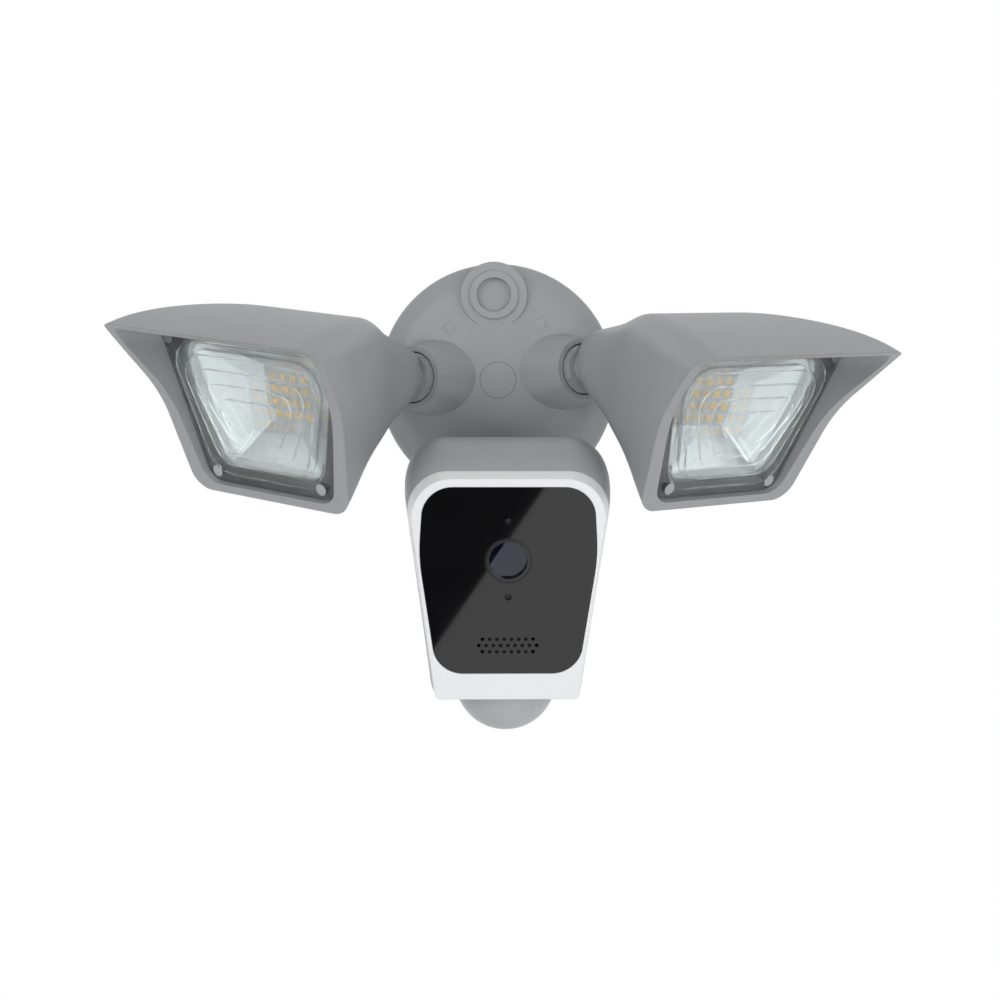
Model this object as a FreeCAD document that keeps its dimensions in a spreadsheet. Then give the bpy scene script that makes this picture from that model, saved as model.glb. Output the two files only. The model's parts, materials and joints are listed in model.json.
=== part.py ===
"""Floodlight security camera: a wall canopy that carries two tilting lamps and a camera head.

Frame: millimetres, +Z up, +X to the viewer's right, -Y out of the wall towards the viewer.
The origin is the centre of the canopy on the wall plane, which is Y = 0.
"""
import FreeCAD, Part
import math
import os
import re
import Sketcher
from FreeCAD import Placement, Rotation, Vector

SIZES = {
    # Wall base
    "canopy_radius": 56, "canopy_depth": 26, "canopy_flat_radius": 18, "canopy_flat_round": 110,
    "shoulder_radius": 46, "shoulder_depth": 21.5, "shoulder_round": 18, "canopy_rim_depth": 14,
    "canopy_rim_round": 6, "canopy_wall": 2.6,
    "gasket_thickness": 2, "gasket_width": 5,
    "crossbar_length": 100, "crossbar_height": 18, "crossbar_thickness": 3, "crossbar_round": 6,
    "box_screw_spacing": 88.9, "box_slot_length": 8, "box_slot_width": 4.6,
    "crossbar_boss_radius": 6, "crossbar_boss_length": 10, "crossbar_floor": 1,
    "canopy_screw_radius": 2.45, "thread_clearance": 0.05, "canopy_screw_head_radius": 4.6,
    "canopy_screw_head_height": 3, "canopy_post_radius": 10.5, "canopy_post_gap": 0.3,
    "cap_radius": 8.4, "cap_thickness": 2.2, "cap_recess": 5.6, "cap_clearance": 0.1,
    "conduit_height": 40, "conduit_radius": 10, "conduit_boss_radius": 15.5,
    "conduit_boss_depth": 24.6, "conduit_flange_radius": 11.3, "conduit_flange_thickness": 1.2,
    "conduit_floor_depth": 18, "conduit_plug_recess": 1.5, "conduit_plug_wall": 2,
    "driver_width": 50, "driver_height": 22, "driver_thickness": 1.6, "driver_level": 25.6,
    "driver_back_depth": 12.6, "standoff_radius": 2.6, "driver_screw_inset": 4,
    "small_screw_radius": 1.4, "small_screw_head_radius": 2.6, "small_screw_head_height": 1.4,
    "driver_screw_length": 6, "transformer_width": 14, "transformer_depth": 8,
    "terminal_width": 9, "terminal_height": 9, "terminal_depth": 7.5,
    # Sockets, arms and lock nuts
    "lamp_socket_across": 39.5, "lamp_socket_depth": 32.7, "lamp_socket_level": 2.7,
    "lamp_socket_azimuth": 34.6, "camera_socket_depth": 30, "camera_socket_level": -42,
    "camera_socket_dip": 4.65, "lamp_socket_length": 21.5,
    "camera_socket_length": 16, "lamp_socket_root_radius": 20,
    "camera_socket_root_radius": 13.6, "lamp_socket_radius": 14.5, "camera_socket_radius": 13.4,
    "shank_radius": 8, "running_clearance": 0.05, "nut_radius": 11.4, "nut_height": 7,
    "nut_recess": 4, "nut_recess_clearance": 0.6, "nut_seat_gap": 0.3, "nut_flat_depth": 0.9,
    "retainer_radius": 11.5, "retainer_thickness": 3, "retainer_gap": 0.3, "cable_radius": 4,
    "cable_exit_radius": 3, "eye_radius": 8.5, "eye_width": 12, "lamp_arm_reach": 22,
    "camera_arm_reach": 29, "pin_radius": 2.5, "pin_overhang": 0.4, "ear_thickness": 4,
    "ear_gap": 0.3, "ear_radius": 8, "cable_exit_setback": 4,
    # Rest pose
    "left_swivel": 11, "right_swivel": 1.6, "camera_swivel": -2.8,
    "left_tilt": 22.6, "right_tilt": 31.3, "camera_tilt": 10.35,
    # Lamps: X across, Y up and Z out of the lens, from the centre of the cover's front face
    "lamp_pivot_back": 84.3, "lamp_pivot_drop": 15.2, "cover_top": 49.3, "cover_bottom": 34.1,
    "cover_half_height": 35.2, "cover_round": 9, "cover_thickness": 3, "cover_first_step": 2.2,
    "cover_step": 1.2, "cover_step_inset": 5.6, "cover_first_inset": 4.9, "cover_skin": 1.6,
    "cover_clearance": 0.4, "lens_gasket_thickness": 1.2,
    "lens_opening_inset": 7, "flange_thickness": 6.8, "hood_reach": 27.2, "hood_bottom_reach": 1.2,
    "hood_wall": 1.7, "lamp_wall": 2.6, "hood_brow_drop": 17, "hood_brow_reach": 12,
    "led_depth": 22.2, "led_board_half": 18, "led_board_thickness": 1.6, "led_pitch": 5.7,
    "led_size": 3.3, "led_height": 0.8, "funnel_half": 13.5, "funnel_wall": 1, "rim_margin": 3,
    "reflector_rim_thickness": 1.2, "sink_half_width": 24, "sink_half_height": 20,
    "sink_thickness": 2.5, "fin_thickness": 1.6, "fin_depth": 14, "fin_pitch": 8,
    "lens_screw_inset": 5.5, "cover_ring_round": 13, "lens_screw_length": 7.5, "slot_clearance": 0.9,
    "bracket_back": 71.8, "bracket_plate": 3, "bracket_tab_level": -4, "bracket_tab_front": 54,
    "bracket_tab_half": 7, "scoop_back": 61, "scoop_radius": 12.5, "scoop_level": 27.5,
    "scoop_wall": 2.4, "column_radius": 4.6,
    # Camera head: X across, Y up and Z out of the lens, from the lens centre on the bezel's front
    "head_depth": 54, "head_pivot_back": 66, "head_pivot_rise": 21, "bezel_depth": 6,
    "bezel_top": 42.8, "bezel_bottom": 30.5, "bezel_top_level": 35.4, "bezel_bottom_level": -61.6,
    "bezel_top_round": 17, "bezel_bottom_round": 2.2, "head_swell": 1.9, "head_wall": 2,
    "head_back_top": 36, "head_back_bottom": 27, "head_back_level": 33, "head_crown": 8.2, "head_floor_rise": 1.1,
    "face_top": 35.4, "face_middle": 37.4, "face_bottom": 30, "face_top_level": 31.8,
    "face_middle_level": 2, "face_bottom_level": -49.9, "face_round": 13, "face_side_round": 80,
    "face_thickness": 1.6, "face_recess": 0.4, "face_clearance": 0.15, "face_ledge": 2.6,
    "barrel_radius": 9.5, "barrel_clearance": 0.2, "barrel_length": 24, "barrel_bore": 6.8,
    "barrel_seat_depth": 4, "glass_radius": 8, "glass_thickness": 1.8, "glass_depth": 2.6,
    "mic_level": 17, "mic_hole_radius": 1.2, "light_level": -15.9, "light_hole_radius": 1.5,
    "capsule_radius": 2.4, "capsule_length": 3, "grille_level": -37.4, "grille_pitch": 3.06,
    "grille_row": 2.8, "grille_hole_radius": 0.8, "speaker_radius": 10.3, "speaker_length": 7,
    "image_board_half": 15, "board_thickness": 1.6, "main_board_half": 15,
    "main_board_top": 6, "main_board_bottom": -44, "main_board_lift": 3.6,
    "dome_radius": 22.3, "dome_level": -63, "dome_back": 29.3, "dome_wall": 1.6,
    "dome_cut_level": -57.5, "dome_hole_radius": 22.35, "pir_board_radius": 21.4, "pir_rest_gap": 0.2,
    "pir_can_radius": 4.6, "pir_can_height": 4.5, "post_radius": 3.2, "post_top_across": 23,
    "post_top_level": 4, "post_bottom_across": 20.5, "post_bottom_level": -41, "post_top_tie": 37, "post_bottom_tie": 31,
    "housing_screw_length": 9, "head_bracket_half": 14, "head_bracket_plate": 3,
    "button_radius": 2.2, "button_across": 11, "button_level": -34, "button_proud": 0.8,
    "button_flange_radius": 3.2, "button_flange_thickness": 0.8,
    "door_width": 17, "door_height": 9, "door_across": -5, "door_level": -38,
    "door_thickness": 1.3, "door_gap": 0.25, "door_barrel_radius": 0.65, "card_slot_width": 12,
    "card_slot_height": 1.5,
}

ALONG_X = Rotation(Vector(0, 1, 0), 90)
ALONG_Y = Rotation(Vector(1, 0, 0), -90)
OUT_OF_WALL = Rotation(Vector(1, 0, 0), 90)
UPRIGHT = Rotation()
HALF_PLANES = {"XY": "XY_Plane", "XZ": "XZ_Plane", "YZ": "YZ_Plane"}

doc = FreeCAD.newDocument("FloodlightCamera")
sheet = doc.addObject("Spreadsheet::Sheet", "Sizes")
for row, (alias, number) in enumerate(SIZES.items(), start=1):
    sheet.set(f"A{row}", alias)
    sheet.set(f"B{row}", str(number))
    sheet.setAlias(f"B{row}", alias)
doc.recompute()
nodes = []


# Binding and placing

def formula(text):
    """Point every size name in a formula at its cell."""
    return re.sub(r"\b([a-z]+(?:_[a-z]+)+)\b", r"Sizes.\1", text)


def value(text):
    """Work a formula out, for what can't be bound."""
    result = sheet.evalExpression(formula(text))
    return float(getattr(result, "Value", result))


def bind(item, prop, text):
    """Bind one property to a formula in the sizes."""
    item.setExpression(prop, formula(text))


def place(item, position, rotation):
    """Turn an item, and bind its position."""
    item.Placement = Placement(Vector(), rotation)
    for axis, text in zip("xyz", position):
        bind(item, f"Placement.Base.{axis}", text)


def shifted(across="0", up="0", out="0"):
    """Placement of a move by three formulas."""
    return Placement(Vector(value(across), value(up), value(out)), Rotation())


def turned(axis, text):
    """Placement of a turn about one axis by a formula in degrees."""
    return Placement(Vector(), Rotation(axis, value(text)))


def node(item, name, frame=Placement()):
    """Name a finished sub-part and put it in its frame."""
    if item.isDerivedFrom("Part::Primitive"):
        item = group(item.Name + "_piece", [item])
    item.Label = name
    item.Placement = frame
    nodes.append(item)
    return item


# Primitives and booleans

def cylinder(name, radius, length, position=("0", "0", "0"), rotation=UPRIGHT):
    """Cylinder from its base centre along its turned Z axis."""
    item = doc.addObject("Part::Cylinder", name)
    bind(item, "Radius", radius)
    bind(item, "Height", length)
    place(item, position, rotation)
    return item


def cone(name, root_radius, tip_radius, length, position=("0", "0", "0"), rotation=UPRIGHT):
    """Cone from its base centre along its turned Z axis."""
    item = doc.addObject("Part::Cone", name)
    bind(item, "Radius1", root_radius)
    bind(item, "Radius2", tip_radius)
    bind(item, "Height", length)
    place(item, position, rotation)
    return item


def ball(name, radius, position):
    """Sphere about its centre."""
    item = doc.addObject("Part::Sphere", name)
    bind(item, "Radius", radius)
    place(item, position, UPRIGHT)
    return item


def block(name, spans):
    """Box between a low and a high formula on each axis."""
    item = doc.addObject("Part::Box", name)
    for prop, (low, high) in zip(("Length", "Width", "Height"), spans):
        bind(item, prop, f"({high}) - ({low})")
    place(item, [low for low, high in spans], UPRIGHT)
    return item


def fuse(name, items):
    """One solid from items that meet."""
    item = doc.addObject("Part::MultiFuse", name)
    item.Shapes = items
    return item


def group(name, items):
    """Separate solids under one name."""
    item = doc.addObject("Part::Compound", name)
    item.Links = items
    return item


def cut(name, base, tools):
    """Base with every tool taken away."""
    for order, tool in enumerate(tools):
        item = doc.addObject("Part::Cut", f"{name}_{order}")
        item.Base = base
        item.Tool = tool
        base = item
    return base


def common(name, one, other):
    """What two items share."""
    item = doc.addObject("Part::Common", name)
    item.Base = one
    item.Tool = other
    return item


def framed(item, frame):
    """Put a construction item into a frame."""
    holder = group(item.Name + "_held", [item])
    holder.Placement = frame
    return holder


# Sketched bodies

def body(name):
    """Empty PartDesign body."""
    return doc.addObject("PartDesign::Body", name)


def sketch(owner, name, plane="XY", offset="0"):
    """Sketch on one of a body's origin planes, moved off it by a formula."""
    role = HALF_PLANES[plane]
    support = next(item for item in owner.Origin.OriginFeatures if item.Role == role)
    item = owner.newObject("Sketcher::SketchObject", name)
    item.AttachmentSupport = [(support, "")]
    item.MapMode = "FlatFace"
    bind(item, "AttachmentOffset.Base.z", offset)
    return item


def draw(item, corners, rounds):
    """Closed outline with straight sides through bound corners, rounded by tangent arcs.

    Args:
        item: the sketch to draw in.
        corners: pairs of formulas, one pair for each corner, in order round the outline.
        rounds: one corner radius formula for all, or a list with one for each, "0" for sharp.
    """
    count = len(corners)
    rounds = [rounds] * count if isinstance(rounds, str) else rounds
    points = [Vector(value(across), value(up), 0) for across, up in corners]
    arcs = []
    for index, point in enumerate(points):
        radius = value(rounds[index])
        back = (points[index - 1] - point).normalize()
        ahead = (points[(index + 1) % count] - point).normalize()
        half = back.getAngle(ahead) / 2
        reach = radius / math.tan(half)
        centre = point + (back + ahead).normalize() * (radius / math.sin(half))
        arcs.append((point + back * reach, point + ahead * reach, centre))
    sides = [
        item.addGeometry(Part.LineSegment(arcs[index][1], arcs[(index + 1) % count][0]), False)
        for index in range(count)
    ]
    for index, point in enumerate(points):
        before, after = sides[index - 1], sides[index]
        mark = item.addGeometry(Part.Point(point), True)
        for kind, text in zip(("DistanceX", "DistanceY"), corners[index]):
            order = item.addConstraint(Sketcher.Constraint(kind, -1, 1, mark, 1, value(text)))
            bind(item, f"Constraints[{order}]", text)
        if value(rounds[index]) == 0:
            item.addConstraint(Sketcher.Constraint("Coincident", before, 2, mark, 1))
            item.addConstraint(Sketcher.Constraint("Coincident", after, 1, mark, 1))
            continue
        start, stop, centre = arcs[index]
        middle = centre + (point - centre).normalize() * (start - centre).Length
        arc = item.addGeometry(Part.Arc(start, middle, stop), False)
        first = 1 if item.getPoint(arc, 1).distanceToPoint(start) < 1e-6 else 2
        item.addConstraint(Sketcher.Constraint("PointOnObject", mark, 1, before))
        item.addConstraint(Sketcher.Constraint("PointOnObject", mark, 1, after))
        item.addConstraint(Sketcher.Constraint("Tangent", before, 2, arc, first))
        item.addConstraint(Sketcher.Constraint("Tangent", after, 1, arc, 3 - first))
        order = item.addConstraint(Sketcher.Constraint("Radius", arc, value(rounds[index])))
        bind(item, f"Constraints[{order}]", rounds[index])
    return item


def pad(owner, profile, thickness, kind="PartDesign::Pad", middle=False, reverse=False):
    """Pad or pocket of a sketch by a formula."""
    item = owner.newObject(kind, profile.Name + "_step")
    item.Profile = profile
    bind(item, "Length", thickness)
    item.SideType = "Symmetric" if middle else "One side"
    item.Reversed = reverse
    return item


def plate(name, corners, rounds, back, thickness, plane="XY"):
    """Body padded from one outline, from its back level."""
    owner = body(name)
    pad(owner, draw(sketch(owner, name + "_outline", plane, back), corners, rounds), thickness)
    return owner


def prism(name, corners, width, rounds="0"):
    """Body from a side outline (Y up, Z out), padded both ways across X."""
    owner = body(name)
    pad(owner, draw(sketch(owner, name + "_side", "YZ"), corners, rounds), width, middle=True)
    return owner


def loft(name, sections, straight=False):
    """Body lofted through sections, each (level, corners, rounds)."""
    owner = body(name)
    outlines = [
        draw(sketch(owner, f"{name}_section_{order}", "XY", level), corners, rounds)
        for order, (level, corners, rounds) in enumerate(sections)
    ]
    item = owner.newObject("PartDesign::AdditiveLoft", name + "_loft")
    item.Profile = outlines[0]
    item.Sections = outlines[1:]
    item.Ruled = straight
    return owner


def turned_body(name, profile, rounds="0"):
    """Body revolved about the wall's normal from (radius, depth) corners."""
    owner = body(name)
    corners = [(radius, f"-({depth})") for radius, depth in profile]
    outline = draw(sketch(owner, name + "_profile", "XY"), corners, rounds)
    item = owner.newObject("PartDesign::Revolution", name + "_turn")
    item.Profile = outline
    item.ReferenceAxis = (outline, ["V_Axis"])
    item.Angle = 360
    return owner


def trapezoid(top, bottom, high, low):
    """Corners of a symmetric outline from half-widths and levels."""
    return [(f"-({top})", high), (top, high), (bottom, low), (f"-({bottom})", low)]


def rectangle(half_width, half_height, across="0", up="0"):
    """Corners of a rectangle about a centre."""
    left, right = f"({across}) - ({half_width})", f"({across}) + ({half_width})"
    low, high = f"({up}) - ({half_height})", f"({up}) + ({half_height})"
    return [(left, high), (right, high), (right, low), (left, low)]


# Frames of the sockets, the arms and what they carry

def socket_frame(across, depth, level, azimuth="0", dip="0"):
    """Socket mouth: Z out along the arm, X level."""
    seat = Placement(Vector(value(across), -value(depth), value(level)), Rotation())
    heading = turned(Vector(0, 0, 1), azimuth) * Placement(Vector(), OUT_OF_WALL)
    return seat * heading * turned(Vector(1, 0, 0), dip)


def carried_frame(arm, reach, tilt, rise, ahead):
    """Lens frame of what hangs on an arm's tilt pin."""
    pivot = arm * shifted(out=reach) * turned(Vector(1, 0, 0), tilt)
    return pivot * shifted(up=rise, out=ahead)


SOCKETS = {
    "left": socket_frame("-lamp_socket_across", "lamp_socket_depth", "lamp_socket_level",
                         "-lamp_socket_azimuth"),
    "right": socket_frame("lamp_socket_across", "lamp_socket_depth", "lamp_socket_level",
                          "lamp_socket_azimuth"),
    "camera": socket_frame("0", "camera_socket_depth", "camera_socket_level",
                           dip="camera_socket_dip"),
}
ARMS = {
    "left": SOCKETS["left"] * turned(Vector(0, 0, 1), "-left_swivel"),
    "right": SOCKETS["right"] * turned(Vector(0, 0, 1), "right_swivel"),
    "camera": SOCKETS["camera"] * turned(Vector(0, 0, 1), "camera_swivel"),
}
LAMPS = {
    side: carried_frame(ARMS[side], "lamp_arm_reach", f"{side}_tilt", "lamp_pivot_drop",
                        "lamp_pivot_back")
    for side in ("left", "right")
}
HEAD = carried_frame(ARMS["camera"], "camera_arm_reach", "camera_tilt", "-head_pivot_rise",
                     "head_pivot_back")


# Wall base

def make_canopy():
    """Domed cover with three sockets, a conduit entry and a capped screw recess."""
    shell = turned_body(
        "canopy_shell",
        [("0", "canopy_depth"), ("canopy_flat_radius", "canopy_depth"),
         ("shoulder_radius", "shoulder_depth"), ("canopy_radius", "canopy_rim_depth"),
         ("canopy_radius", "gasket_thickness"),
         ("canopy_radius - canopy_wall", "gasket_thickness"),
         ("canopy_radius - canopy_wall", "canopy_rim_depth - canopy_wall / 2"),
         ("shoulder_radius - canopy_wall / 3", "shoulder_depth - canopy_wall"),
         ("canopy_flat_radius", "canopy_depth - canopy_wall"),
         ("0", "canopy_depth - canopy_wall")],
        ["0", "canopy_flat_round", "shoulder_round", "canopy_rim_round", "0", "0",
         "canopy_rim_round - canopy_wall", "shoulder_round - canopy_wall",
         "canopy_flat_round - canopy_wall", "0"])
    added = [shell]
    removed = []
    post_level = "crossbar_thickness + crossbar_boss_length + canopy_post_gap"
    for side, socket in SOCKETS.items():
        kind = "camera" if side == "camera" else "lamp"
        length = f"{kind}_socket_length"
        boss = cone(f"{side}_socket_boss", f"{kind}_socket_root_radius",
                    f"{kind}_socket_radius", length, ("0", "0", f"-{length}"))
        added.append(framed(boss, socket))
        bore = cylinder(f"{side}_socket_bore", "shank_radius + running_clearance",
                        f"{length} + 2", ("0", "0", f"-{length} - 1"))
        recess = cylinder(f"{side}_socket_recess", "nut_radius + nut_recess_clearance",
                          "nut_recess + 1", ("0", "0", "-nut_recess"))
        removed += [framed(bore, socket), framed(recess, socket)]
    added.append(cylinder("conduit_boss", "conduit_boss_radius",
                          "conduit_boss_depth - conduit_floor_depth",
                          ("0", "-conduit_floor_depth", "conduit_height"), OUT_OF_WALL))
    added.append(cylinder("screw_post", "canopy_post_radius", f"canopy_depth - ({post_level})",
                          ("0", f"-({post_level})", "0"), OUT_OF_WALL))
    for side in (-1, 1):
        added.append(cylinder(
            f"board_post_{side + 1}", "standoff_radius",
            "canopy_depth - 2 - driver_back_depth - driver_thickness",
            (f"{side} * (driver_width / 2 - driver_screw_inset)",
             "-driver_back_depth - driver_thickness", "driver_level"), OUT_OF_WALL))
        removed.append(cylinder(
            f"board_post_hole_{side + 1}", "small_screw_radius + thread_clearance",
            "driver_screw_length + 1",
            (f"{side} * (driver_width / 2 - driver_screw_inset)",
             "-driver_back_depth + 1", "driver_level"), OUT_OF_WALL))
    removed.append(cylinder("conduit_hole", "conduit_radius + cap_clearance", "canopy_depth",
                            ("0", "-conduit_floor_depth + 1", "conduit_height"), OUT_OF_WALL))
    removed.append(cylinder("screw_hole", "canopy_screw_radius + thread_clearance",
                            "canopy_depth", ("0", f"1 - ({post_level})", "0"), OUT_OF_WALL))
    removed.append(cylinder("cap_recess_hole", "cap_radius + cap_clearance", "cap_recess + 1",
                            ("0", "cap_recess - canopy_depth", "0"), OUT_OF_WALL))
    node(cut("canopy_cut", fuse("canopy_solid", added), removed), "canopy")


def make_wall_pieces():
    """Gasket, crossbar, screw, cap and conduit plug."""
    node(turned_body("gasket_ring", [
        ("canopy_radius - gasket_width", "0"), ("canopy_radius", "0"),
        ("canopy_radius", "gasket_thickness"),
        ("canopy_radius - gasket_width", "gasket_thickness")]), "wall_gasket")
    strap = plate("crossbar_strap", rectangle("crossbar_length / 2", "crossbar_height / 2"),
                  "crossbar_round", "0", "crossbar_thickness")
    boss = cylinder("crossbar_boss", "crossbar_boss_radius",
                    "crossbar_thickness + crossbar_boss_length")
    holes = [cylinder("crossbar_thread", "canopy_screw_radius + thread_clearance",
                      "crossbar_boss_length + crossbar_thickness", ("0", "0", "crossbar_floor"))]
    for side in (-1, 1):
        centre = f"{side} * box_screw_spacing / 2"
        half = "(box_slot_length - box_slot_width) / 2"
        holes.append(block(f"slot_middle_{side + 1}", [
            (f"{centre} - {half}", f"{centre} + {half}"),
            ("-box_slot_width / 2", "box_slot_width / 2"), ("-1", "crossbar_thickness + 1")]))
        for end in (-1, 1):
            holes.append(cylinder(f"slot_end_{side + 1}_{end + 1}", "box_slot_width / 2",
                                  "crossbar_thickness + 2",
                                  (f"{centre} + {end} * {half}", "0", "-1")))
    bar = cut("crossbar_cut", fuse("crossbar_solid", [strap, boss]), holes)
    node(bar, "crossbar", Placement(Vector(), OUT_OF_WALL))

    seat = "canopy_depth - cap_recess"
    shank = cylinder("centre_screw_shank", "canopy_screw_radius",
                     f"{seat} - crossbar_floor - 2", ("0", "-crossbar_floor - 2", "0"),
                     OUT_OF_WALL)
    screw_head = cylinder("centre_screw_head", "canopy_screw_head_radius",
                          "canopy_screw_head_height", ("0", f"-({seat})", "0"), OUT_OF_WALL)
    node(fuse("centre_screw_solid", [shank, screw_head]), "centre_screw")
    node(cylinder("cap_disc", "cap_radius", "cap_thickness",
                  ("0", "cap_thickness - canopy_depth", "0"), OUT_OF_WALL), "centre_cap")

    plug = cylinder("plug_body", "conduit_radius", "conduit_boss_depth - conduit_floor_depth",
                    ("0", "-conduit_floor_depth", "conduit_height"), OUT_OF_WALL)
    flange = cylinder("plug_flange", "conduit_flange_radius", "conduit_flange_thickness",
                      ("0", "-conduit_boss_depth", "conduit_height"),
                      OUT_OF_WALL)
    hollow = cylinder("plug_recess", "conduit_radius - conduit_plug_wall",
                      "conduit_plug_recess + conduit_flange_thickness + 1",
                      ("0", "conduit_plug_recess - conduit_boss_depth", "conduit_height"),
                      OUT_OF_WALL)
    node(cut("plug_cut", fuse("plug_solid", [plug, flange]), [hollow]), "conduit_plug")


def make_driver():
    """Driver board on two posts, with its parts and the mains terminal."""
    back = "-driver_back_depth"
    board = block("driver_blank", [("-driver_width / 2", "driver_width / 2"),
                                   (f"{back} - driver_thickness", back),
                                   ("driver_level - driver_height / 2",
                                    "driver_level + driver_height / 2")])
    holes, screws = [], []
    for side in (-1, 1):
        across = f"{side} * (driver_width / 2 - driver_screw_inset)"
        holes.append(cylinder(f"driver_hole_{side + 1}", "small_screw_radius + thread_clearance",
                              "driver_thickness + 2", (across, f"{back} + 1", "driver_level"),
                              OUT_OF_WALL))
        shank = cylinder(f"driver_screw_shank_{side + 1}", "small_screw_radius",
                         "driver_screw_length", (across, back, "driver_level"), OUT_OF_WALL)
        top = cylinder(f"driver_screw_head_{side + 1}", "small_screw_head_radius",
                       "small_screw_head_height",
                       (across, f"{back} + small_screw_head_height", "driver_level"),
                       OUT_OF_WALL)
        screws.append(fuse(f"driver_screw_{side + 1}", [shank, top]))
    node(cut("driver_cut", board, holes), "driver_board")
    node(group("driver_screw_pair", screws), "driver_screws")
    transformer = block("transformer", [("-transformer_width / 2", "transformer_width / 2"),
                                        (back, f"{back} + transformer_depth"),
                                        ("driver_level - 6", "driver_level + 6")])
    capacitor = cylinder("capacitor", "4", "transformer_depth",
                         ("transformer_width / 2 + 6", back, "driver_level + 4"), ALONG_Y)
    coil = cylinder("choke", "3", "transformer_depth / 2",
                    ("transformer_width / 2 + 6", back, "driver_level - 6"), ALONG_Y)
    node(group("driver_parts", [transformer, capacitor, coil]), "driver_components")
    left = "-transformer_width / 2 - 2"
    node(block("terminal_body", [(f"{left} - terminal_width", left),
                                 (back, f"{back} + terminal_depth"),
                                 ("driver_level + 1", "driver_level + 1 + terminal_height")]),
         "terminal_block")


# Arms

def make_arm(side):
    """Hollow arm with its eye, inner retainer and outer lock nut."""
    kind = "camera" if side == "camera" else "lamp"
    reach = f"{kind}_arm_reach"
    inner = f"{kind}_socket_length + retainer_gap + retainer_thickness"
    shank = cylinder(f"{side}_shank", "shank_radius", f"{inner} + {reach}",
                     ("0", "0", f"-({inner})"))
    eye = cylinder(f"{side}_eye", "eye_radius", "eye_width", ("-eye_width / 2", "0", reach),
                   ALONG_X)
    trim = [
        block(f"{side}_cheek_{low + 1}", [
            (("-eye_radius - 1", "-eye_width / 2") if low < 0
             else ("eye_width / 2", "eye_radius + 1")),
            ("-eye_radius - 1", "eye_radius + 1"),
            (f"{reach} - eye_radius - 0.5", f"{reach} + eye_radius")])
        for low in (-1, 1)
    ]
    bore = cylinder(f"{side}_eye_bore", "pin_radius + running_clearance", "eye_width + 2",
                    ("-eye_width / 2 - 1", "0", reach), ALONG_X)
    exit_level = f"{reach} - eye_radius - cable_exit_setback"
    cable = cylinder(f"{side}_cable_bore", "cable_radius", f"{inner} + {exit_level} + 1",
                     ("0", "0", f"-({inner}) - 1"))
    outlet = cylinder(f"{side}_cable_exit", "cable_exit_radius", "shank_radius + 1",
                      ("0", "0", exit_level), ALONG_Y)
    node(cut(f"{side}_arm_cut", fuse(f"{side}_arm_solid", [shank, eye]),
             trim + [bore, cable, outlet]), f"{side}_arm", ARMS[side])

    hole_radius = "shank_radius + running_clearance"
    collar = cylinder(f"{side}_retainer_disc", "retainer_radius", "retainer_thickness",
                      ("0", "0", f"-({inner})"))
    collar_hole = cylinder(f"{side}_retainer_hole", hole_radius, "retainer_thickness + 2",
                           ("0", "0", f"-({inner}) - 1"))
    node(cut(f"{side}_retainer_cut", collar, [collar_hole]), f"{side}_arm_retainer", ARMS[side])

    seat = "-nut_recess + nut_seat_gap"
    disc = cylinder(f"{side}_nut_disc", "nut_radius", "nut_height", ("0", "0", seat))
    nut_hole = cylinder(f"{side}_nut_hole", hole_radius, "nut_height + 2",
                        ("0", "0", f"{seat} - 1"))
    flats = []
    for order in range(8):
        flat = block(f"{side}_nut_flat_{order}", [
            ("nut_radius - nut_flat_depth", "nut_radius + 1"), ("-nut_radius", "nut_radius"),
            ("0.4", f"{seat} + nut_height + 1")])
        flats.append(framed(flat, Placement(Vector(), Rotation(Vector(0, 0, 1), 45 * order))))
    node(cut(f"{side}_nut_cut", disc, [nut_hole] + flats), f"{side}_lock_nut", SOCKETS[side])


# Lamps

def cover_outline(inset="0"):
    """Corners of the lens cover's outline, moved in by a formula."""
    return trapezoid(f"cover_top - ({inset})", f"cover_bottom - ({inset})",
                     f"cover_half_height - ({inset})", f"-cover_half_height + ({inset})")


def lamp_sections(wall="0"):
    """Outer sections of a lamp from its rear cap to its hood, moved in by a wall."""
    stations = [
        ("-lamp_pivot_back - 15", "9", "9", "-5", "-25", "8.5"),
        ("-lamp_pivot_back - 5", "15", "14.5", "1.5", "-30", "13"),
        ("-lamp_pivot_back + 14", "23", "18", "13.5", "-31.5", "13"),
        ("-lamp_pivot_back + 36", "35", "25", "27.5", "-31", "11"),
        ("-lamp_pivot_back + 62", "46.5", "34", "37.5", "-33.5", "10"),
        ("0", "cover_top + 5", "cover_bottom + 7.5", "cover_half_height + 7.5",
         "-cover_half_height - 4", "10"),
        ("hood_reach + 0.8", "cover_top + 8.8", "cover_bottom + 8.3",
         "cover_half_height + 8.8", "-cover_half_height - 5", "7"),
    ]
    return [
        (level, trapezoid(f"{top} - {wall}", f"{bottom} - {wall}", f"{high} - {wall}",
                          f"{low} + {wall}"), f"{turn} - {wall}")
        for level, top, bottom, high, low, turn in stations
    ]


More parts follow.
